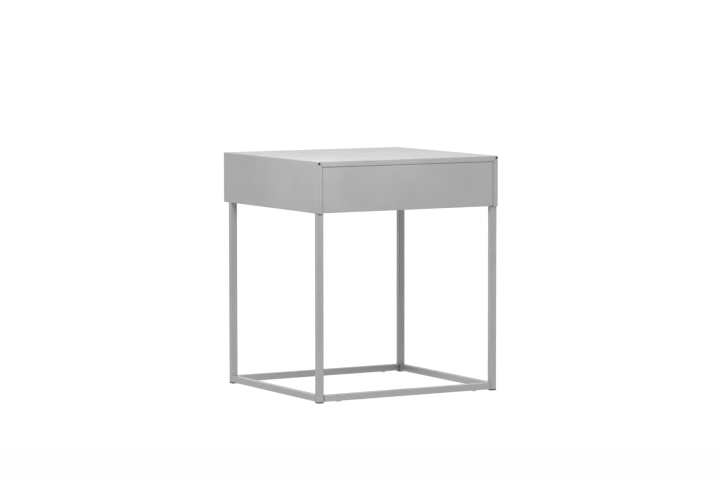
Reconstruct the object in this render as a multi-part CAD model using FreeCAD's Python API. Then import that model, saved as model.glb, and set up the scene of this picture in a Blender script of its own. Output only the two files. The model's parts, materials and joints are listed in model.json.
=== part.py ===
"""Side table with one inset drawer: a folded sheet-metal case on a slender square-tube base.

Frame, in millimetres: origin on the floor, midway between the sides and midway between front and back.
+Z is up, -Y is the front, +X is to the right of someone facing the front.
"""
import FreeCAD, Part

import math
import os

Vector = FreeCAD.Vector

# Overall sizes
WIDTH = 472.0
DEPTH = 450.0
HEIGHT = 540.0
CASE_HEIGHT = 116.0

# Sheet metal
SHEET = 1.0
INSIDE_BEND = 1.0
OUTSIDE_BEND = INSIDE_BEND + SHEET
TIGHT_INSIDE = 0.4
TIGHT_OUTSIDE = TIGHT_INSIDE + SHEET
BORDER_SIDE = 12.5
BORDER_TOP = 13.0
RETURN_DEPTH = 12.0
BACK_RECESS = 12.0
BACK_SHEET = 0.8

# Reliefs where three folds meet, and the seams that run from them to the drawer's opening
RELIEF_SIZE = 5.3
RELIEF_CORNER = 0.5
RELIEF_FROM_SIDE = 1.4
RELIEF_FROM_TOP = 2.4
SEAM_GAP = 0.3
SEAM_START = 0.2

# Square-tube base
TUBE = 15.0
TUBE_WALL = 1.2
TUBE_CORNER = 1.8
FOOT_THICKNESS = 3.2
LEG_INSET_SIDE = 1.5
LEG_INSET_FRONT = 3.0
LEG_INSET_REAR = 20.0
RAIL_GAP = 1.2
SPIGOT_LENGTH = 52.0
SPIGOT_WALL = 2.0
SPIGOT_CORNER = 1.0
LOCK_SCREW_FROM_LEG = 41.0
FIT_GAP = 0.15
INSERT_LENGTH = 20.0
PRESS_GAP = 0.1
INNER_CORNER = 0.6
GLIDE_PLUG_TOP = 15.0
GLIDE_PLUG_WALL = 1.6
GLIDE_FLOOR = 5.0
GLIDE_EDGE = 0.7

# Drawer
DRAWER_RECESS = 1.0
DRAWER_GAP_SIDE = 0.4
DRAWER_GAP_TOP = 0.4
DRAWER_GAP_BOTTOM = 0.8
FRONT_PAN_DEPTH = 16.0
FRONT_BACK_FLANGE = 27.0
FRONT_CORNER = 0.8
PULL_LIP_HEIGHT = 8.0
TRAY_SHEET = 0.8
TRAY_LENGTH = 400.0
TRAY_BOTTOM = 440.0
TRAY_HEIGHT = 75.0
HEM_DEPTH = 8.0
HEM_INSIDE = 0.8
HEM_CORNER_NOTCH = 4.0
TRAY_BEND = 0.8
TRAY_FLANGE = 3.8
TRAY_FLOOR_GAP = 0.1

# Ball slides
SLIDE_THICKNESS = 12.7
SLIDE_HEIGHT = 45.0
SLIDE_SHEET = 1.2
SLIDE_LENGTH = 350.0
CABINET_MEMBER_EXTRA = 10.0
SLIDE_SETBACK = 25.0
SLIDE_CENTRE = 477.5
BRACKET_DEPTH = 13.0
BRACKET_WEB = 56.0
BRACKET_LIP = 9.0
BALL_RADIUS = 1.9
BALL_GAP = 0.15
CAGE_LENGTH = 110.0
CAGE_BALLS = 6
BALL_PITCH = 18.0
OUTER_CAGE_SHEET = 0.6
INNER_CAGE_SHEET = 0.5
CAGE_BEND = 1.5
CAGE_LIP = 1.45
CAGE_FOOT = 1.7
CABINET_MEMBER_BEND = 2.0
SLOT_WIDTH = 4.5
SLOT_LENGTH = 11.0
ACCESS_WIDTH = 9.0
ACCESS_LENGTH = 22.0
# Places along a slide, from its middle; each slot is (lengthwise, place)
SLIDE_SCREWS = (-145.0, 0.0, 135.0)
CABINET_MEMBER_SLOTS = ((True, -118.0), (False, -96.0), (True, 27.0), (False, 104.0))
DRAWER_MEMBER_SLOTS = ((True, -106.0), (False, -84.0), (True, 62.0), (False, 84.0))
ACCESS_HOLES = (-145.0, 118.0)
CABINET_LIP_ANGLE = -10.0
BRACKET_PAST_SLIDE = 6.0
BUFFER_LENGTH = 8.0
BUFFER_HEIGHT = 26.0
BUFFER_DEPTH = 9.3
BUFFER_GAP = 0.4

# Fasteners: shank radius, head radius, head height
LEG_BOLT = (2.5, 4.25, 5.0)
LOCK_SCREW = (2.5, 5.75, 2.6)
SMALL_SCREW = (2.0, 3.6, 2.0)
COUNTERSUNK_HEAD_RADIUS = 3.7
LEG_BOLT_LENGTH = 22.0
LOCK_SCREW_LENGTH = 8.0
CASE_SCREW_LENGTH = 8.0
DRAWER_SCREW_LENGTH = 4.0
FRONT_SCREW_LENGTH = 6.0
FRONT_SCREW_FROM_SIDE = 9.3
FRONT_SCREW_HEIGHTS = (15.0, 60.0)
DRAWER_SCREW_SHIFT = 12.0
HEAD_ROUNDING = 0.45
SOCKET_WIDTH = 0.42
SOCKET_DEPTH = 0.55
COUNTERSUNK_SOCKET_DEPTH = 1.0
HOLE_GAP = 0.05
LEG_BOLT_OFFSET = 2.0
MOUNTING_PLATE = 3.0
PLATE_GAP = 0.3
PLATE_CORNER = 1.0
PLATE_PAST_LEG = 17.0
WASHER = 1.0
WASHER_RIM = 0.15

# Tools that cut reach this far: past a face, through a wall, down through the whole bolted joint
PAST = 10.0
WALL_DEEP = 5.0
THROUGH = 40.0

# Places that follow from the sizes above
case_half = WIDTH / 2
case_front = -DEPTH / 2
case_rear = DEPTH / 2
case_bottom = HEIGHT - CASE_HEIGHT
opening_half = case_half - BORDER_SIDE
opening_top = HEIGHT - BORDER_TOP
leg_outer = case_half - LEG_INSET_SIDE
leg_inner = leg_outer - TUBE
leg_front_y = case_front + LEG_INSET_FRONT
leg_rear_y = case_rear - LEG_INSET_REAR - TUBE
bracket_face = case_half - SHEET - BRACKET_DEPTH
tray_half = bracket_face - SLIDE_THICKNESS
slide_front = case_front + SLIDE_SETBACK
slide_middle = slide_front + SLIDE_LENGTH / 2
front_face = case_front + DRAWER_RECESS
tray_front = front_face + FRONT_PAN_DEPTH
tray_rear = tray_front + TRAY_LENGTH
tray_top = TRAY_BOTTOM + TRAY_HEIGHT
bolt_x = leg_inner + TUBE / 2 + LEG_BOLT_OFFSET
plate_low_x = opening_half + SHEET + PLATE_GAP
plate_high_x = case_half - OUTSIDE_BEND - PLATE_GAP
plug_half = TUBE / 2 - TUBE_WALL - PRESS_GAP

# ---------------------------------------------------------------- helpers

def box(x, y, z):
    """Box between the low and high value of each pair."""
    size = [high - low for low, high in (x, y, z)]
    return Part.makeBox(*size, Vector(x[0], y[0], z[0]))


def filleted(shape, radius, wanted):
    """The shape with each edge rounded whose midpoint passes the test."""
    edges = [e for e in shape.Edges if wanted(e.valueAt((e.FirstParameter + e.LastParameter) / 2))]
    return shape.makeFillet(radius, edges)


def near(value, target):
    return abs(value - target) < 1e-4


def united(shapes):
    """One clean solid from touching or overlapping solids."""
    return shapes[0].multiFuse(shapes[1:]).removeSplitter().Solids[0]


def mirrored(shape):
    """The same shape on the other side of the table's centre plane."""
    return shape.mirror(Vector(0, 0, 0), Vector(1, 0, 0))


def both_sides(shape):
    return [shape, mirrored(shape)]


def folded(axis, span, start, heading, moves, thickness):
    """Strip of sheet bent along a mid-line and extruded along an axis over a span.

    The mid-line runs in the plane of the other two axes. It starts at a point with a heading in degrees and
    follows moves: a number is a straight length, and a pair (angle, inside radius) is a bend, + to the left.
    """
    place = {
        "x": lambda u, v: Vector(span[0], u, v),
        "y": lambda u, v: Vector(u, span[0], v),
        "z": lambda u, v: Vector(u, v, span[0]),
    }[axis]
    half = thickness / 2
    x, y = start
    angle = math.radians(heading)
    edges = []
    caps = []
    for move in moves:
        normal = (-math.sin(angle), math.cos(angle))
        caps.append([(x + side * half * normal[0], y + side * half * normal[1]) for side in (1, -1)])
        if isinstance(move, tuple):
            turn, inside = math.radians(move[0]), move[1]
            side_of_centre = math.copysign(1, turn)
            middle = inside + half
            centre = (x + side_of_centre * middle * normal[0], y + side_of_centre * middle * normal[1])

            def on_arc(radius, at):
                return (centre[0] + side_of_centre * radius * math.sin(at),
                        centre[1] - side_of_centre * radius * math.cos(at))

            for radius in (middle - half, middle + half):
                three = [place(*on_arc(radius, angle + turn * share)) for share in (0, 0.5, 1)]
                edges.append(Part.Arc(*three).toShape())
            angle += turn
            x, y = on_arc(middle, angle)
        else:
            new_x = x + move * math.cos(angle)
            new_y = y + move * math.sin(angle)
            for side in (1, -1):
                shift = (side * half * normal[0], side * half * normal[1])
                ends = [place(px + shift[0], py + shift[1]) for px, py in ((x, y), (new_x, new_y))]
                edges.append(Part.makeLine(*ends))
            x, y = new_x, new_y
    normal = (-math.sin(angle), math.cos(angle))
    caps.append([(x + side * half * normal[0], y + side * half * normal[1]) for side in (1, -1)])
    for cap in (caps[0], caps[-1]):
        edges.append(Part.makeLine(place(*cap[0]), place(*cap[1])))
    face = Part.Face(Part.Wire(Part.__sortEdges__(edges)))
    length = span[1] - span[0]
    direction = {"x": Vector(length, 0, 0), "y": Vector(0, length, 0), "z": Vector(0, 0, length)}[axis]
    return face.extrude(direction)


def square_tube(axis, span, centre, size=TUBE, wall=TUBE_WALL, corner=TUBE_CORNER):
    """Square tube along an axis; centre gives the other two coordinates in X, Y, Z order."""
    def bar(half, radius):
        sides = [(c - half, c + half) for c in centre]
        sides.insert("xyz".index(axis), span)
        solid = box(*sides)
        along = "xyz".index(axis)
        middle = (span[0] + span[1]) / 2
        return filleted(solid, radius, lambda p: near(p[along], middle))

    return bar(size / 2, corner).cut(bar(size / 2 - wall, corner - min(wall, corner - TIGHT_INSIDE)))


def pointed(shape, place, direction):
    """A shape built along +Z, turned to a direction and moved to a place."""
    turned = shape.copy()
    turned.Placement = FreeCAD.Placement(place, FreeCAD.Rotation(Vector(0, 0, 1), direction))
    return turned


def hexagon(radius, height, base):
    corners = [Vector(radius * math.cos(math.radians(60 * i)), radius * math.sin(math.radians(60 * i)), base)
               for i in range(7)]
    return Part.Face(Part.makePolygon(corners)).extrude(Vector(0, 0, height))


def screw(sizes, length, place, direction):
    """Round-headed screw with a hexagon socket. The head's flat underside is at the place, and the shank
    points along the direction."""
    shank_radius, head_radius, head_height = sizes
    head = Part.makeCylinder(head_radius, head_height, Vector(0, 0, -head_height))
    head = filleted(head, head_height * HEAD_ROUNDING, lambda p: near(p.z, -head_height))
    socket = hexagon(head_radius * SOCKET_WIDTH, head_height * SOCKET_DEPTH, -head_height)
    shank = Part.makeCylinder(shank_radius, length)
    return pointed(united([head, shank]).cut(socket), place, direction)


def screw_hole(sizes, length, place, direction):
    return pointed(Part.makeCylinder(sizes[0] + HOLE_GAP, length), place, direction)


def countersunk(place, direction, length, gap=0.0):
    """Countersunk screw whose flat head is flush with the place. With a gap it is the hole for one."""
    shank_radius = SMALL_SCREW[0]
    cone_height = COUNTERSUNK_HEAD_RADIUS - shank_radius
    cone = Part.makeCone(COUNTERSUNK_HEAD_RADIUS + gap, shank_radius + gap, cone_height)
    shank = Part.makeCylinder(shank_radius + gap, length)
    solid = united([cone, shank])
    if gap == 0:
        solid = solid.cut(hexagon(COUNTERSUNK_HEAD_RADIUS * SOCKET_WIDTH, COUNTERSUNK_SOCKET_DEPTH, 0))
    return pointed(solid, place, direction)


# ---------------------------------------------------------------- places of repeated pieces

leg_places = {
    "front_left": (-leg_outer, leg_front_y),
    "front_right": (leg_inner, leg_front_y),
    "rear_left": (-leg_outer, leg_rear_y),
    "rear_right": (leg_inner, leg_rear_y),
}
leg_bolt_places = [
    Vector(side * bolt_x, y + TUBE / 2, case_bottom + SHEET + MOUNTING_PLATE + WASHER)
    for y in (leg_front_y, leg_rear_y) for side in (-1, 1)
]
lock_screw_places = [
    Vector(side * (leg_inner - LOCK_SCREW_FROM_LEG), y + TUBE / 2, FOOT_THICKNESS)
    for y in (leg_front_y, leg_rear_y) for side in (-1, 1)
]
front_screw_places = [
    Vector(side * (tray_half - FRONT_SCREW_FROM_SIDE), tray_front + TRAY_SHEET, TRAY_BOTTOM + height)
    for height in FRONT_SCREW_HEIGHTS for side in (-1, 1)
]
UP = Vector(0, 0, 1)
DOWN = Vector(0, 0, -1)
FORWARD = Vector(0, -1, 0)
LEFT = Vector(-1, 0, 0)


# ---------------------------------------------------------------- case

def make_case_shell():
    """Top, sides, front border with its returns, and bottom side flanges, folded from one sheet."""
    body = box((-case_half, case_half), (case_front, case_rear), (case_bottom, HEIGHT))

    def outer_fold(p):
        side = near(abs(p.x), case_half)
        return (near(p.y, case_front) and (side or near(p.z, HEIGHT))) \
            or (side and near(p.y, 0) and (near(p.z, HEIGHT) or near(p.z, case_bottom)))

    body = filleted(body, OUTSIDE_BEND, outer_fold)
    return_end = case_front + RETURN_DEPTH
    below_top = HEIGHT - BORDER_TOP / 2
    body = body.cut(box((-opening_half, opening_half), (case_front - PAST, return_end),
                        (case_bottom - PAST, opening_top)))

    def jamb_edge(p):
        return near(p.y, case_front) and p.z < below_top \
            and (near(abs(p.x), opening_half) or near(p.z, opening_top))

    body = filleted(body, TIGHT_OUTSIDE, jamb_edge)

    inner_half = case_half - SHEET
    inner_front = case_front + SHEET
    hollow = box((-inner_half, inner_half), (inner_front, case_rear + PAST),
                 (case_bottom + SHEET, HEIGHT - SHEET))

    def inner_fold(p):
        side = near(abs(p.x), inner_half)
        low_or_high = near(p.z, HEIGHT - SHEET) or near(p.z, case_bottom + SHEET)
        return (near(p.y, inner_front) and (side or near(p.z, HEIGHT - SHEET))) \
            or (side and low_or_high and p.y < case_rear)

    hollow = filleted(hollow, INSIDE_BEND, inner_fold)
    jamb_half = opening_half + SHEET
    jamb_top = opening_top + SHEET
    hollow = hollow.cut(box((-jamb_half, jamb_half), (case_front, return_end), (case_bottom, jamb_top)))

    def inner_jamb_edge(p):
        return near(p.y, inner_front) and p.z < below_top \
            and (near(abs(p.x), jamb_half) or near(p.z, jamb_top))

    hollow = filleted(hollow, TIGHT_INSIDE, inner_jamb_edge)
    shell = body.cut(hollow)
    shell = shell.cut(box((-opening_half, opening_half), (case_front - PAST, case_rear + PAST),
                          (case_bottom - PAST, case_bottom + SHEET)))
    cuts = both_sides(make_right_corner_relief())
    cuts += [screw_hole(LEG_BOLT, THROUGH, place, DOWN) for place in leg_bolt_places]
    return shell.cut(cuts).removeSplitter()


def make_right_corner_relief():
    """What is cut out of the border's top right corner: a rounded notch and the seam that leads to it."""
    inner_x = case_half - RELIEF_FROM_SIDE - RELIEF_SIZE
    low_z = HEIGHT - RELIEF_FROM_TOP - RELIEF_SIZE
    depth = (case_front - PAST, case_front + OUTSIDE_BEND)
    notch = box((inner_x, inner_x + RELIEF_SIZE), depth, (low_z, low_z + RELIEF_SIZE))
    notch = filleted(notch, RELIEF_CORNER, lambda p: near(p.y, sum(depth) / 2))
    start_x = opening_half + SEAM_START
    start_z = opening_top + SEAM_START + BORDER_TOP - BORDER_SIDE
    seam = box((-SEAM_GAP / 2, SEAM_GAP / 2), (case_front - PAST, case_front + SHEET),
               (0, (inner_x + RELIEF_CORNER - start_x) * math.sqrt(2)))
    seam.Placement = FreeCAD.Placement(Vector(start_x, 0, start_z), FreeCAD.Rotation(Vector(0, 1, 0), 45))
    return united([notch, seam])


def make_back_panel():
    """Pan recessed into the rear of the case; its edges turn back to the case's rear edge."""
    half = case_half - SHEET
    low, high = case_bottom + SHEET, HEIGHT - SHEET
    face = case_rear - BACK_RECESS
    outside = box((-half, half), (face, case_rear), (low, high))
    outside = filleted(outside, OUTSIDE_BEND, lambda p: near(p.y, (face + case_rear) / 2))
    outside = filleted(outside, INSIDE_BEND + BACK_SHEET, lambda p: near(p.y, face))
    inner_half = half - BACK_SHEET
    inside_depth = (face + BACK_SHEET, case_rear + PAST)
    inside = box((-inner_half, inner_half), inside_depth, (low + BACK_SHEET, high - BACK_SHEET))
    inside = filleted(inside, INSIDE_BEND, lambda p: near(p.y, sum(inside_depth) / 2))
    inside = filleted(inside, INSIDE_BEND, lambda p: near(p.y, face + BACK_SHEET))
    return outside.cut(inside)


def make_left_slide_bracket():
    """Hat-section strip on the inside of the left side; the slide is screwed to its raised web."""
    bend = INSIDE_BEND
    mid_bend = bend + SHEET / 2
    rise = BRACKET_DEPTH - SHEET - 2 * mid_bend
    lip = BRACKET_LIP
    web = BRACKET_WEB - 2 * mid_bend
    start = (-case_half + 1.5 * SHEET, SLIDE_CENTRE + BRACKET_WEB / 2 + mid_bend + lip)
    moves = [lip, (90, bend), rise, (-90, bend), web, (-90, bend), rise, (90, bend), lip]
    span = (slide_front, slide_front + SLIDE_LENGTH + CABINET_MEMBER_EXTRA + BRACKET_PAST_SLIDE)
    bracket = folded("y", span, start, -90, moves, SHEET)
    return bracket.cut([countersunk(*place, HOLE_GAP) for place in left_case_screw_places()])


def make_mounting_plate(leg_y, low_y, high_y):
    """Plate over the right bottom flange that spreads the load of one leg bolt."""
    low_z = case_bottom + SHEET
    plate = box((plate_low_x, plate_high_x), (low_y, high_y), (low_z, low_z + MOUNTING_PLATE))
    plate = filleted(plate, PLATE_CORNER, lambda p: near(p.z, low_z + MOUNTING_PLATE / 2))
    return plate.cut(screw_hole(LEG_BOLT, THROUGH, Vector(bolt_x, leg_y + TUBE / 2, low_z + PAST), DOWN))


def make_mounting_plates():
    front_rear_end = leg_front_y + TUBE + PLATE_PAST_LEG
    front = make_mounting_plate(leg_front_y, case_front + OUTSIDE_BEND + PLATE_GAP, front_rear_end)
    rear_end = case_rear - BACK_RECESS - PLATE_GAP
    rear = make_mounting_plate(leg_rear_y, leg_rear_y - PLATE_PAST_LEG, rear_end)
    return both_sides(front) + both_sides(rear)


def make_leg_bolts():
    return [screw(LEG_BOLT, LEG_BOLT_LENGTH, place, DOWN) for place in leg_bolt_places]


def make_washers():
    shank_radius, head_radius, _ = LEG_BOLT
    washers = []
    for place in leg_bolt_places:
        base = place - Vector(0, 0, WASHER)
        ring = Part.makeCylinder(head_radius + WASHER_RIM, WASHER, base)
        washers.append(ring.cut(Part.makeCylinder(shank_radius + HOLE_GAP, WASHER, base)))
    return washers


# ---------------------------------------------------------------- base

def make_leg(corner):
    x, y = corner
    return square_tube("z", (FOOT_THICKNESS, case_bottom), (x + TUBE / 2, y + TUBE / 2))


def make_leg_insert(corner):
    """Tapped block pressed into the top of a leg, flush with its end."""
    centre_x, centre_y = (value + TUBE / 2 for value in corner)
    block = box((centre_x - plug_half, centre_x + plug_half), (centre_y - plug_half, centre_y + plug_half),
                (case_bottom - INSERT_LENGTH, case_bottom))
    block = filleted(block, INNER_CORNER, lambda p: near(p.z, case_bottom - INSERT_LENGTH / 2))
    bolt = Vector(math.copysign(bolt_x, centre_x), centre_y, case_bottom + PAST)
    return block.cut(screw_hole(LEG_BOLT, THROUGH, bolt, DOWN))


def make_right_side_rail():
    """Rail welded between the front and rear legs."""
    return square_tube("y", (leg_front_y + TUBE, leg_rear_y),
                       (leg_inner + TUBE / 2, FOOT_THICKNESS + TUBE / 2))


def make_cross_rail(leg_y):
    """Front or rear rail; each end slips over a spigot and stops short of the leg."""
    end = leg_inner - RAIL_GAP
    rail = square_tube("x", (-end, end), (leg_y + TUBE / 2, FOOT_THICKNESS + TUBE / 2))
    holes = [screw_hole(LOCK_SCREW, WALL_DEEP, place, UP) for place in lock_screw_places]
    return rail.cut(holes)


def make_right_spigot(leg_y):
    """Stub of smaller tube welded to the inner face of a leg."""
    size = TUBE - 2 * TUBE_WALL - 2 * FIT_GAP
    spigot = square_tube("x", (leg_inner - SPIGOT_LENGTH, leg_inner),
                         (leg_y + TUBE / 2, FOOT_THICKNESS + TUBE / 2), size, SPIGOT_WALL, SPIGOT_CORNER)
    return spigot.cut([screw_hole(LOCK_SCREW, WALL_DEEP, place, UP) for place in lock_screw_places])


def make_spigots():
    return both_sides(make_right_spigot(leg_front_y)) + both_sides(make_right_spigot(leg_rear_y))


def make_lock_screws():
    return [screw(LOCK_SCREW, LOCK_SCREW_LENGTH, place, UP) for place in lock_screw_places]


def make_foot_glide(corner):
    """Moulded glide: a thin pad under the leg's end and a hollow plug inside the tube."""
    x, y = corner
    centre_x, centre_y = x + TUBE / 2, y + TUBE / 2
    pad = box((x, x + TUBE), (y, y + TUBE), (0, FOOT_THICKNESS))
    pad = filleted(pad, TUBE_CORNER, lambda p: near(p.z, FOOT_THICKNESS / 2))
    pad = filleted(pad, GLIDE_EDGE, lambda p: near(p.z, 0))
    plug = box((centre_x - plug_half, centre_x + plug_half), (centre_y - plug_half, centre_y + plug_half),
               (FOOT_THICKNESS, GLIDE_PLUG_TOP))
    plug = filleted(plug, INNER_CORNER, lambda p: near(p.z, (FOOT_THICKNESS + GLIDE_PLUG_TOP) / 2))
    well = Part.makeCylinder(plug_half - GLIDE_PLUG_WALL, GLIDE_PLUG_TOP,
                             Vector(centre_x, centre_y, GLIDE_FLOOR))
    return united([pad, plug]).cut(well)


# ---------------------------------------------------------------- slides

# Section of one slide: u runs from the bracket towards the drawer, v is the height from the slide's centre.
race_middle = BALL_RADIUS + BALL_GAP + SLIDE_SHEET / 2
race_step = 2 * race_middle * math.cos(math.radians(45))
outer_ball = (SLIDE_THICKNESS - race_middle - SLIDE_SHEET / 2,
              SLIDE_HEIGHT / 2 - race_middle - SLIDE_SHEET / 2)
inner_ball = (outer_ball[0] - race_step, outer_ball[1] - race_step)
race_inside = race_middle - SLIDE_SHEET / 2


def on_race(ball, angle):
    """Point of a race's mid-line, at an angle about a ball's centre."""
    turn = math.radians(angle)
    return (ball[0] + race_middle * math.cos(turn), ball[1] + race_middle * math.sin(turn))


def left_slide_point(u, v):
    return (-bracket_face + u, SLIDE_CENTRE + v)


def slide_strip(start, heading, moves, length, sheet=SLIDE_SHEET, front=slide_front):
    """Symmetrical section: the moves down to the centre line are repeated in reverse below it."""
    whole = moves[:-1] + [2 * moves[-1]] + moves[-2::-1]
    return folded("y", (front, front + length), left_slide_point(*start), heading, whole, sheet)


def slot(along_y, from_centre, long, wide):
    """Round-ended hole through a left member's web, lengthwise along the slide or upright."""
    x, z = left_slide_point(0, 0)
    size_y, size_z = (long, wide) if along_y else (wide, long)
    y = slide_middle + from_centre
    hole = box((x, x + SLIDE_THICKNESS + TRAY_SHEET), (y - size_y / 2, y + size_y / 2),
               (z - size_z / 2, z + size_z / 2))
    return filleted(hole, wide / 2 - HOLE_GAP, lambda p: near(p.x, x + (SLIDE_THICKNESS + TRAY_SHEET) / 2))


def make_left_cabinet_member():
    across = outer_ball[0] - SLIDE_SHEET / 2 - CABINET_MEMBER_BEND
    down = outer_ball[1] + race_middle - CABINET_MEMBER_BEND
    corner = (90, CABINET_MEMBER_BEND - SLIDE_SHEET / 2)
    moves = [(90 - CABINET_LIP_ANGLE, race_inside), across, corner, down]
    member = slide_strip(on_race(outer_ball, CABINET_LIP_ANGLE), CABINET_LIP_ANGLE + 90, moves,
                         SLIDE_LENGTH + CABINET_MEMBER_EXTRA)
    holes = [countersunk(*place, HOLE_GAP) for place in left_case_screw_places()]
    holes += [slot(along_y, offset, SLOT_LENGTH, SLOT_WIDTH) for along_y, offset in CABINET_MEMBER_SLOTS]
    return member.cut(holes)


def make_left_middle_member():
    moves = [(-90, race_inside), (135, race_inside), inner_ball[1]]
    member = slide_strip(on_race(outer_ball, -45), -135, moves, SLIDE_LENGTH)
    return member.cut([slot(True, offset, ACCESS_LENGTH, ACCESS_WIDTH) for offset in ACCESS_HOLES])


def make_left_drawer_member():
    web_half = inner_ball[1] - race_step
    moves = [(75, race_inside), (-135, race_inside), web_half]
    member = slide_strip(on_race(inner_ball, -120), -30, moves, SLIDE_LENGTH)
    holes = [screw_hole(SMALL_SCREW, WALL_DEEP, place, LEFT) for place in left_drawer_screw_places()]
    holes += [slot(along_y, offset, SLOT_LENGTH, SLOT_WIDTH) for along_y, offset in DRAWER_MEMBER_SLOTS]
    return member.cut(holes)


def ball_centres(ball):
    """Centres of the balls in the top and bottom rows of the left slide."""
    first = slide_middle - BALL_PITCH * (CAGE_BALLS - 1) / 2
    rows = [left_slide_point(ball[0], sign * ball[1]) for sign in (1, -1)]
    return [Vector(x, first + BALL_PITCH * i, z) for x, z in rows for i in range(CAGE_BALLS)]


def ball_pockets(ball):
    """Upright holes that let the balls stand through a cage's strips."""
    radius = BALL_RADIUS + BALL_GAP
    reach = 2 * radius
    half = Vector(0, 0, reach / 2)
    return [Part.makeCylinder(radius, reach, centre - half) for centre in ball_centres(ball)]


def make_left_outer_cage():
    """C-shaped retainer between the cabinet and middle members."""
    sheet = OUTER_CAGE_SHEET
    web_u = SLIDE_SHEET + sheet
    flange_v = outer_ball[1] + sheet
    lip_u = outer_ball[0] + CAGE_LIP
    cage = slide_strip((lip_u, flange_v), 180,
                       [lip_u - web_u - CAGE_BEND, (90, CAGE_BEND - sheet / 2), flange_v - CAGE_BEND],
                       CAGE_LENGTH, sheet, slide_middle - CAGE_LENGTH / 2)
    return cage.cut(ball_pockets(outer_ball))


def make_left_inner_cages():
    """Two flat retainer strips between the middle and drawer members."""
    low_x, _ = left_slide_point(inner_ball[0] - CAGE_FOOT, 0)
    high_x, _ = left_slide_point(outer_ball[0] + CAGE_LIP, 0)
    span = (slide_middle - CAGE_LENGTH / 2, slide_middle + CAGE_LENGTH / 2)
    half = INNER_CAGE_SHEET / 2
    strips = []
    for sign in (1, -1):
        z = SLIDE_CENTRE + sign * inner_ball[1]
        strip = box((low_x, high_x), span, (z - half, z + half))
        strips.append(strip.cut(ball_pockets(inner_ball)))
    return strips


def make_left_balls(ball):
    return [Part.makeSphere(BALL_RADIUS, centre) for centre in ball_centres(ball)]


def make_left_rear_buffer():
    """Rubber block at the rear of the cabinet member that the closed slide stops against."""
    low_x, low_z = left_slide_point(SLIDE_SHEET, -BUFFER_HEIGHT / 2)
    high_x = low_x + BUFFER_DEPTH
    low_y = slide_front + SLIDE_LENGTH + BUFFER_GAP
    buffer = box((low_x, high_x), (low_y, low_y + BUFFER_LENGTH), (low_z, low_z + BUFFER_HEIGHT))
    return filleted(buffer, INSIDE_BEND, lambda p: near(p.x, high_x))


def left_case_screw_places():
    """Each is (place, direction, length): flush with the web's face, pointing at the case's side."""
    x, z = left_slide_point(SLIDE_SHEET, 0)
    places = [Vector(x, slide_middle + offset, z) for offset in SLIDE_SCREWS]
    return [(place, LEFT, CASE_SCREW_LENGTH) for place in places]


def left_drawer_screw_places():
    """Undersides of the screw heads, on the inner face of the tray's left wall."""
    x = -tray_half + TRAY_SHEET
    first = slide_middle + DRAWER_SCREW_SHIFT
    return [Vector(x, first + offset, SLIDE_CENTRE) for offset in SLIDE_SCREWS]


def make_case_screws():
    screws = []
    for place in left_case_screw_places():
        screws += both_sides(countersunk(*place))
    return screws


def make_drawer_screws():
    screws = []
    for place in left_drawer_screw_places():
        screws += both_sides(screw(SMALL_SCREW, DRAWER_SCREW_LENGTH, place, LEFT))
    return screws


# ---------------------------------------------------------------- drawer

def make_drawer_front():
    """Panel folded back on all sides, with flanges behind for the tray and an upturned pull lip below."""
    half = opening_half - DRAWER_GAP_SIDE
    low = case_bottom + DRAWER_GAP_BOTTOM
    high = opening_top - DRAWER_GAP_TOP
    rear = tray_front
    panel = box((-half, half), (front_face, rear), (low, high))
    panel = filleted(panel, FRONT_CORNER, lambda p: near(p.y, (front_face + rear) / 2))
    panel = filleted(panel, TIGHT_OUTSIDE, lambda p: near(p.y, front_face))
    hollow = box((-half + SHEET, half - SHEET), (front_face + SHEET, rear - SHEET),
                 (low + SHEET, high - SHEET))
    hollow = filleted(hollow, TIGHT_INSIDE, lambda p: near(p.y, front_face + SHEET))
    open_half = half - FRONT_BACK_FLANGE
    back_opening = box((-open_half, open_half), (rear - 1.5 * SHEET, rear + PAST),
                       (low + PULL_LIP_HEIGHT, high - SHEET))
    holes = [screw_hole(SMALL_SCREW, WALL_DEEP, place, FORWARD) for place in front_screw_places]
    return panel.cut([hollow, back_opening] + holes)


def tray_wall(axis, span, outer_face, inward):
    """One wall of the tray: a narrow flange below that carries the floor, and a hemmed rim on top.

    The wall's outer face is at a value of the axis it faces; inward is +1 or -1 along that axis.
    """
    half = TRAY_SHEET / 2
    low_bend = TRAY_BEND + TRAY_SHEET
    hem_bend = HEM_INSIDE + TRAY_SHEET
    wall = TRAY_HEIGHT - low_bend - hem_bend
    start = (outer_face + inward * TRAY_FLANGE, TRAY_BOTTOM + half)
    heading = 90 + 90 * inward
    moves = [TRAY_FLANGE - low_bend, (-90 * inward, TRAY_BEND), wall, (-180 * inward, HEM_INSIDE), HEM_DEPTH]
    whole = folded(axis, span, start, heading, moves, TRAY_SHEET)
    low, high = outer_face + inward * TRAY_SHEET, outer_face + inward * (TRAY_FLANGE + PAST)
    across = (min(low, high), max(low, high))
    upright = (TRAY_BOTTOM - PAST, tray_top + PAST)
    for end in ((span[0] - PAST, span[0] + HEM_CORNER_NOTCH), (span[1] - HEM_CORNER_NOTCH, span[1] + PAST)):
        notch = box(across, end, upright) if axis == "y" else box(end, across, upright)
        whole = whole.cut(notch)
    return whole


def make_left_tray_side():
    side = tray_wall("y", (tray_front, tray_rear), -tray_half, 1)
    holes = [screw_hole(SMALL_SCREW, WALL_DEEP, place, LEFT) for place in left_drawer_screw_places()]
    return side.cut(holes)


def tray_end_span():
    """The front and rear walls stand between the side walls."""
    half = tray_half - TRAY_SHEET
    return (-half, half)


def make_tray_front_wall():
    wall = tray_wall("x", tray_end_span(), tray_front, 1)
    return wall.cut([screw_hole(SMALL_SCREW, WALL_DEEP, place, FORWARD) for place in front_screw_places])


def make_tray_rear_wall():
    return tray_wall("x", tray_end_span(), tray_rear, -1)


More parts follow.
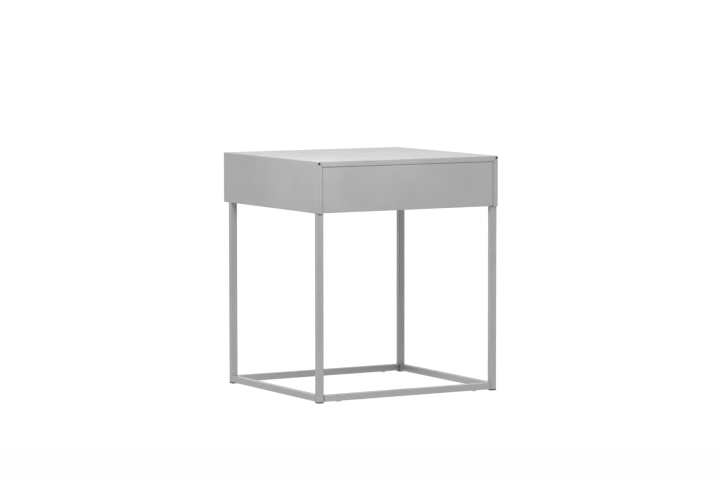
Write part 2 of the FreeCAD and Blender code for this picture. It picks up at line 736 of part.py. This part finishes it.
def make_tray_floor():
    """Flat sheet that lies on the walls' flanges."""
    inset = TRAY_SHEET + TRAY_BEND + TRAY_FLOOR_GAP
    half = tray_half - inset
    low = TRAY_BOTTOM + TRAY_SHEET
    return box((-half, half), (tray_front + inset, tray_rear - inset), (low, low + TRAY_SHEET))


def make_front_screws():
    return [screw(SMALL_SCREW, FRONT_SCREW_LENGTH, place, FORWARD) for place in front_screw_places]


# ---------------------------------------------------------------- the assembly

def left_slide_parts():
    return {
        "cabinet_member": [make_left_cabinet_member()],
        "middle_member": [make_left_middle_member()],
        "drawer_member": [make_left_drawer_member()],
        "outer_cage": [make_left_outer_cage()],
        "inner_cage": make_left_inner_cages(),
        "outer_balls": make_left_balls(outer_ball),
        "inner_balls": make_left_balls(inner_ball),
        "rear_buffer": [make_left_rear_buffer()],
    }


def all_parts():
    """Every node's name and its list of solids."""
    bracket = make_left_slide_bracket()
    tray_side = make_left_tray_side()
    rail = make_right_side_rail()
    parts = {
        "case_shell": [make_case_shell()],
        "back_panel": [make_back_panel()],
        "slide_bracket_left": [bracket],
        "slide_bracket_right": [mirrored(bracket)],
        "leg_mounting_plates": make_mounting_plates(),
        "leg_bolts": make_leg_bolts(),
        "leg_bolt_washers": make_washers(),
        "leg_top_inserts": [make_leg_insert(corner) for corner in leg_places.values()],
        "side_rail_left": [mirrored(rail)],
        "side_rail_right": [rail],
        "front_rail": [make_cross_rail(leg_front_y)],
        "rear_rail": [make_cross_rail(leg_rear_y)],
        "rail_spigots": make_spigots(),
        "rail_lock_screws": make_lock_screws(),
        "slide_case_screws": make_case_screws(),
        "slide_drawer_screws": make_drawer_screws(),
        "drawer_front": [make_drawer_front()],
        "drawer_tray_side_left": [tray_side],
        "drawer_tray_side_right": [mirrored(tray_side)],
        "drawer_tray_front_wall": [make_tray_front_wall()],
        "drawer_tray_rear_wall": [make_tray_rear_wall()],
        "drawer_tray_floor": [make_tray_floor()],
        "drawer_front_screws": make_front_screws(),
    }
    for name, corner in leg_places.items():
        parts["leg_" + name] = [make_leg(corner)]
        parts["foot_glide_" + name] = [make_foot_glide(corner)]
    for name, solids in left_slide_parts().items():
        parts["slide_left_" + name] = solids
        parts["slide_right_" + name] = [mirrored(solid) for solid in solids]
    return parts


def main():
    os.makedirs("parts", exist_ok=True)
    for name, shapes in sorted(all_parts().items()):
        solids = [solid for shape in shapes for solid in shape.Solids]
        if len(solids) != len(shapes) or not all(s.isValid() and s.Volume > 0 for s in solids):
            raise SystemExit(f"{name}: expected {len(shapes)} sound solids, got {len(solids)}")
        shape = solids[0] if len(solids) == 1 else Part.makeCompound(solids)
        shape.exportStep(f"parts/{name}.step")
        print(f"{name:32s} {len(solids):3d} solids {sum(s.Volume for s in solids):12.1f} mm3")


main()
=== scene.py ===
"""Looks of the side table with one drawer: powder-coated sheet metal on a slender square-tube base.

Metres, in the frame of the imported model: +Z up, -Y the front, the floor at Z = 0.
"""

import json
import math

import bmesh
import bpy
from mathutils import Matrix, Vector

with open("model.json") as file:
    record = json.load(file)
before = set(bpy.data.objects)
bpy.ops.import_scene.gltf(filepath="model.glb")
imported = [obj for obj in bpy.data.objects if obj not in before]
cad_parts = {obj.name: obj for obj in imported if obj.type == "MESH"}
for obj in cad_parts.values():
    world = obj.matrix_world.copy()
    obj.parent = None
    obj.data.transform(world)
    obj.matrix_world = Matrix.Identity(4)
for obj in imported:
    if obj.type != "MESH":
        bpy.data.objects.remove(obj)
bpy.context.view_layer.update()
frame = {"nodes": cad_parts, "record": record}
MM = 0.001
scene = bpy.context.scene


# ---------------------------------------------------------------- node trees

class Tree:
    """Small helper that adds nodes to a material's or the world's tree."""

    def __init__(self, owner):
        owner.use_nodes = True
        self.nodes = owner.node_tree.nodes
        self.links = owner.node_tree.links
        self.nodes.clear()

    def set_input(self, socket, value):
        """Link the socket to another node's output, or give it a fixed value."""
        if isinstance(value, bpy.types.NodeSocket):
            self.links.new(value, socket)
        else:
            socket.default_value = value

    def add(self, kind, inputs=None, **settings):
        node = self.nodes.new(kind)
        for name, value in settings.items():
            setattr(node, name, value)
        for socket, value in (inputs or {}).items():
            self.set_input(node.inputs[socket], value)
        return node

    def noise(self, coordinates, scale, detail=2.0, roughness=0.5, distortion=0.0):
        """Noise value whose features are about 1 / scale metres across."""
        node = self.add("ShaderNodeTexNoise", {"Vector": coordinates, "Scale": scale, "Detail": detail,
                                               "Roughness": roughness, "Distortion": distortion})
        return node.outputs["Fac"]

    def remap(self, value, source, target):
        """The value moved from one range, a (low, high) pair, to another and held inside it."""
        node = self.add("ShaderNodeMapRange", {"Value": value, "From Min": source[0], "From Max": source[1],
                                               "To Min": target[0], "To Max": target[1]})
        return node.outputs["Result"]

    def math(self, operation, first, second):
        return self.add("ShaderNodeMath", {0: first, 1: second}, operation=operation).outputs["Value"]

    def mix(self, share, first, second):
        """Colour between two colours; a Mix node's sockets 0, 6, 7 and output 2 are the ones for colours."""
        node = self.add("ShaderNodeMix", data_type="RGBA")
        for index, value in ((0, share), (6, first), (7, second)):
            self.set_input(node.inputs[index], value)
        return node.outputs[2]

    def bump(self, height, strength, distance, normal=None):
        inputs = {"Height": height, "Strength": strength, "Distance": distance}
        if normal is not None:
            inputs["Normal"] = normal
        return self.add("ShaderNodeBump", inputs).outputs["Normal"]

    def edge_amount(self, radius):
        """1 on an edge within the radius, 0 on the flat."""
        geometry = self.add("ShaderNodeNewGeometry")
        rounded = self.add("ShaderNodeBevel", {"Radius": radius}, samples=4)
        dot = self.add("ShaderNodeVectorMath", {0: rounded.outputs["Normal"], 1: geometry.outputs["Normal"]},
                       operation="DOT_PRODUCT")
        return self.remap(dot.outputs["Value"], source=(1.0, 0.86), target=(0.0, 1.0))


def grey(level, tint=(1.0, 1.0, 1.0)):
    return (level * tint[0], level * tint[1], level * tint[2], 1.0)


def surface(tree, base_color, roughness, normal=None, **fixed):
    """Principled surface; fixed holds the sockets that are the same all over, with _ for a space."""
    inputs = {"Base Color": base_color, "Roughness": roughness}
    if normal is not None:
        inputs["Normal"] = normal
    inputs.update({name.replace("_", " "): value for name, value in fixed.items()})
    shader = tree.add("ShaderNodeBsdfPrincipled", inputs)
    output = tree.add("ShaderNodeOutputMaterial")
    tree.links.new(shader.outputs["BSDF"], output.inputs["Surface"])


# ---------------------------------------------------------------- materials

PAINT_LEVEL = 0.265
PAINT_WARM = (1.0, 0.984, 0.985)
PAINT_COOL = (0.99, 0.985, 1.0)
ZINC_BLUE = (0.98, 1.0, 1.03)
ZINC_YELLOW = (1.0, 0.995, 0.97)
STEEL_YELLOW = (1.0, 0.99, 0.96)
MOULDED_BLUE = (1.0, 1.0, 1.04)
ROLLING_STRETCH = (900.0, 18.0, 900.0)


def start_material(name):
    """A new material, its empty tree and the object's own coordinates."""
    material = bpy.data.materials.new(name)
    tree = Tree(material)
    return material, tree, tree.add("ShaderNodeTexCoord").outputs["Object"]


def powder_coat(name):
    """Satin light grey powder coat: orange peel, faint blotches, and edges and bends made paler in colour as
    a painted highlight.
    """
    material, tree, place = start_material(name)
    blotches = tree.noise(place, scale=7.0, detail=3.0, roughness=0.55, distortion=0.6)
    color = tree.mix(tree.remap(blotches, source=(0.3, 0.7), target=(0.0, 1.0)),
                     grey(PAINT_LEVEL * 0.95, PAINT_WARM), grey(PAINT_LEVEL * 1.05, PAINT_COOL))
    pale_specks = tree.remap(tree.noise(place, scale=1400.0), source=(0.62, 0.78), target=(0.0, 0.35))
    color = tree.mix(pale_specks, color, grey(PAINT_LEVEL * 1.22))
    dark_specks = tree.remap(tree.noise(place, scale=900.0, detail=1.0), source=(0.3, 0.2), target=(0.0, 0.3))
    color = tree.mix(dark_specks, color, grey(PAINT_LEVEL * 0.72))
    # Painted highlight: the edges and bends are made paler in colour, broken up by noise, and a little
    # glossier.
    highlight_breakup = tree.noise(place, scale=90.0, detail=4.0, roughness=0.65)
    highlight_breakup = tree.remap(highlight_breakup, source=(0.35, 0.7), target=(0.1, 1.0))
    painted_edge_highlight = tree.math("MULTIPLY", tree.edge_amount(0.9 * MM), highlight_breakup)
    color = tree.mix(tree.math("MULTIPLY", painted_edge_highlight, 0.3), color, grey(PAINT_LEVEL * 1.25))

    satin = tree.noise(place, scale=30.0, detail=4.0, roughness=0.6)
    roughness = tree.remap(satin, source=(0.25, 0.75), target=(0.27, 0.34))
    patches = tree.noise(place, scale=9.0, detail=3.0, roughness=0.55, distortion=0.8)
    patches = tree.remap(patches, source=(0.3, 0.7), target=(-0.01, 0.05))
    roughness = tree.math("ADD", roughness, patches)
    roughness = tree.math("SUBTRACT", roughness, tree.math("MULTIPLY", painted_edge_highlight, 0.06))

    orange_peel = tree.noise(place, scale=480.0, detail=2.0, roughness=0.45)
    peel = tree.bump(orange_peel, strength=0.16, distance=0.12 * MM)
    grain = tree.bump(tree.noise(place, scale=2600.0), strength=0.10, distance=0.03 * MM, normal=peel)
    surface(tree, color, roughness, grain, Metallic=0.42, Specular_IOR_Level=0.62)
    return material


def zinc_plate(name):
    """Rolled steel with bright zinc: fine lengthwise rolling lines and cloudy patches."""
    material, tree, place = start_material(name)
    stretched = tree.add("ShaderNodeMapping", {"Vector": place, "Scale": ROLLING_STRETCH}).outputs["Vector"]
    lines = tree.noise(stretched, scale=1.0, detail=3.0, roughness=0.6)
    clouds = tree.noise(place, scale=45.0, detail=4.0, roughness=0.6, distortion=0.8)
    color = tree.mix(tree.remap(clouds, source=(0.3, 0.7), target=(0.0, 1.0)),
                     grey(0.50, ZINC_BLUE), grey(0.66, ZINC_YELLOW))
    color = tree.mix(tree.remap(lines, source=(0.3, 0.7), target=(0.0, 0.25)), color, grey(0.40))
    # Painted highlight: every edge is made paler in colour.
    painted_edge_highlight = tree.edge_amount(0.4 * MM)
    color = tree.mix(tree.math("MULTIPLY", painted_edge_highlight, 0.4), color, grey(0.75))
    roughness = tree.remap(lines, source=(0.25, 0.75), target=(0.26, 0.42))
    surface(tree, color, roughness, tree.bump(lines, strength=0.15, distance=0.05 * MM), Metallic=1.0)
    return material


def ball_steel(name):
    """Polished steel with a faint, uneven film that changes its gloss."""
    material, tree, place = start_material(name)
    film = tree.noise(place, scale=350.0, detail=3.0)
    color = tree.mix(film, grey(0.62), grey(0.74, STEEL_YELLOW))
    roughness = tree.remap(film, source=(0.3, 0.7), target=(0.10, 0.22))
    surface(tree, color, roughness, tree.bump(film, strength=0.05, distance=0.02 * MM), Metallic=1.0)
    return material


def matt_black(name, level, roughness_range):
    """Black plastic, rubber or primer: fine grain, slightly polished and paler along the edges."""
    material, tree, place = start_material(name)
    clouds = tree.noise(place, scale=160.0, detail=3.0)
    color = tree.mix(clouds, grey(level * 0.8), grey(level * 1.25, MOULDED_BLUE))
    scuffs = tree.noise(place, scale=700.0, detail=3.0, roughness=0.7)
    scuffs = tree.remap(scuffs, source=(0.5, 0.75), target=(0.0, 1.0))
    wear = tree.math("MULTIPLY", tree.edge_amount(0.5 * MM), scuffs)
    color = tree.mix(tree.math("MULTIPLY", wear, 0.5), color, grey(level * 3.0))
    roughness = tree.remap(clouds, source=(0.3, 0.7), target=roughness_range)
    grain = tree.bump(tree.noise(place, scale=2200.0), strength=0.25, distance=0.04 * MM)
    surface(tree, color, roughness, grain, Specular_IOR_Level=0.45)
    return material


finishes = {
    "powder_coat": powder_coat("powder_coat"),
    "zinc_steel": zinc_plate("zinc_steel"),
    "ball_steel": ball_steel("ball_steel"),
    "black_primer": matt_black("black_primer", level=0.012, roughness_range=(0.55, 0.7)),
    "black_plastic": matt_black("black_plastic", level=0.022, roughness_range=(0.42, 0.55)),
    "black_rubber": matt_black("black_rubber", level=0.018, roughness_range=(0.65, 0.8)),
}


def paint_nodes():
    """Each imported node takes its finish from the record's material slot."""
    slots = {row["node"]: row["material_slot"] for row in frame["record"]["subparts"]}
    for name, node in frame["nodes"].items():
        node.data.materials.clear()
        node.data.materials.append(finishes[slots[name]])


# ---------------------------------------------------------------- camera

CAMERA_PLACE = Vector((-3.663, -6.369, 0.941))
CAMERA_AZIMUTH = math.radians(29.911)
CAMERA_PITCH = math.radians(4.671)
CAMERA_ROLL = math.radians(-0.054)
CAMERA_LENS = 159.3
CAMERA_SENSOR = 36.0
CAMERA_REACH = 500.0


def add_camera():
    data = bpy.data.cameras.new("camera")
    data.lens = CAMERA_LENS
    data.sensor_width = CAMERA_SENSOR
    data.clip_end = CAMERA_REACH
    camera = bpy.data.objects.new("camera", data)
    scene.collection.objects.link(camera)
    ahead = Vector((math.sin(CAMERA_AZIMUTH) * math.cos(CAMERA_PITCH),
                    math.cos(CAMERA_AZIMUTH) * math.cos(CAMERA_PITCH), -math.sin(CAMERA_PITCH)))
    level_right = Vector((math.cos(CAMERA_AZIMUTH), -math.sin(CAMERA_AZIMUTH), 0.0))
    upright = level_right.cross(ahead)
    right = math.cos(CAMERA_ROLL) * level_right + math.sin(CAMERA_ROLL) * upright
    up = right.cross(ahead)
    turn = Matrix((right, up, -ahead)).transposed().to_4x4()
    camera.matrix_world = Matrix.Translation(CAMERA_PLACE) @ turn
    scene.camera = camera


# ---------------------------------------------------------------- floor and light

FLOOR_SIDE = 400.0
FLOOR_LEVEL = 0.06
FLOOR_GLOW = 0.985
CARD_LEVEL = 0.02
UPRIGHT_CARD = (6.5, 2.2)
UPRIGHT_CARD_DISTANCE = 2.9
UPRIGHT_CARD_HEIGHT = 1.0
UPRIGHT_CARD_TARGET = (0.0, 0.0, 0.4)
FLOOR_CARD = (4.5, 2.6)
FLOOR_CARD_DISTANCE = 2.3
FLOOR_CARD_HEIGHT = 4.0 * MM
WORLD_COLOR = (0.975, 0.965, 1.0, 1.0)
WORLD_STRENGTH = 1.02

# Each softbox: name, place, the point that it is aimed at, width, height, watts.
SOFTBOXES = (
    ("key", (-1.25, -1.65, 1.5), (-0.15, -0.15, 0.42), 0.9, 0.9, 13.0),
    ("near_left", (-0.75, -0.62, 1.15), (-0.23, -0.22, 0.45), 0.3, 0.3, 8.8),
    ("near_front", (-0.45, -1.0, 1.3), (-0.15, -0.225, 0.45), 0.4, 0.4, 14.5),
    ("front", (-0.35, -1.5, 2.1), (-0.05, -0.2, 0.4), 1.2, 0.8, 28.0),
    ("left", (-1.7, -0.3, 1.3), (-0.23, -0.1, 0.4), 0.8, 0.8, 3.0),
    ("overhead", (0.2, 0.3, 2.6), (0.0, 0.0, 0.5), 2.0, 2.0, 6.0),
    ("overhead_left", (-1.3, 0.1, 1.9), (-0.1, 0.0, 0.45), 1.0, 1.0, 6.0),
)


def flat_rectangle(name, width, length):
    mesh = bpy.data.meshes.new(name)
    grid = bmesh.new()
    bmesh.ops.create_grid(grid, x_segments=1, y_segments=1, size=0.5)
    bmesh.ops.scale(grid, vec=(width, length, 1.0), verts=grid.verts)
    grid.to_mesh(mesh)
    grid.free()
    rectangle = bpy.data.objects.new(name, mesh)
    scene.collection.objects.link(rectangle)
    return rectangle


def aimed(place, target):
    """Matrix of an object at a place whose -Z axis points at the target."""
    direction = Vector(target) - Vector(place)
    return Matrix.Translation(place) @ direction.to_track_quat("-Z", "Y").to_matrix().to_4x4()


def add_softbox(name, place, target, width, height, power):
    data = bpy.data.lights.new(name, "AREA")
    data.shape = "RECTANGLE"
    data.size = width
    data.size_y = height
    data.energy = power
    light = bpy.data.objects.new(name, data)
    light.matrix_world = aimed(place, target)
    scene.collection.objects.link(light)


def add_floor():
    """Pale floor that gives most of its own light, so that hardly a shadow shows on it."""
    floor = flat_rectangle("floor", FLOOR_SIDE, FLOOR_SIDE)
    material = bpy.data.materials.new("pale_floor")
    surface(Tree(material), grey(FLOOR_LEVEL), 0.9, Emission_Color=grey(1.0),
            Emission_Strength=FLOOR_GLOW, Specular_IOR_Level=0.0)
    floor.data.materials.append(material)


def add_dark_cards():
    """Two dark cards on the camera's side, one upright and one flat on the floor.

    The front and the satin bends reflect them. The camera itself doesn't see them.
    """
    toward = Vector((-math.sin(CAMERA_AZIMUTH), -math.cos(CAMERA_AZIMUTH), 0.0))
    upright = flat_rectangle("dark_card", *UPRIGHT_CARD)
    upright_place = toward * UPRIGHT_CARD_DISTANCE + Vector((0.0, 0.0, UPRIGHT_CARD_HEIGHT))
    upright.matrix_world = aimed(upright_place, UPRIGHT_CARD_TARGET)
    low = flat_rectangle("dark_floor_card", *FLOOR_CARD)
    low_place = toward * FLOOR_CARD_DISTANCE + Vector((0.0, 0.0, FLOOR_CARD_HEIGHT))
    low.matrix_world = Matrix.Translation(low_place) @ Matrix.Rotation(-CAMERA_AZIMUTH, 4, "Z")
    material = bpy.data.materials.new("dark_card")
    surface(Tree(material), grey(CARD_LEVEL), 1.0, Specular_IOR_Level=0.0)
    for card in (upright, low):
        card.data.materials.append(material)
        card.visible_camera = False


def add_world():
    world = bpy.data.worlds.new("studio")
    scene.world = world
    tree = Tree(world)
    background = tree.add("ShaderNodeBackground", {"Color": WORLD_COLOR, "Strength": WORLD_STRENGTH})
    output = tree.add("ShaderNodeOutputWorld")
    tree.links.new(background.outputs["Background"], output.inputs["Surface"])


# ---------------------------------------------------------------- the scene

scene.view_settings.view_transform = "Standard"
add_camera()
add_floor()
add_dark_cards()
add_world()
for softbox in SOFTBOXES:
    add_softbox(*softbox)
paint_nodes()
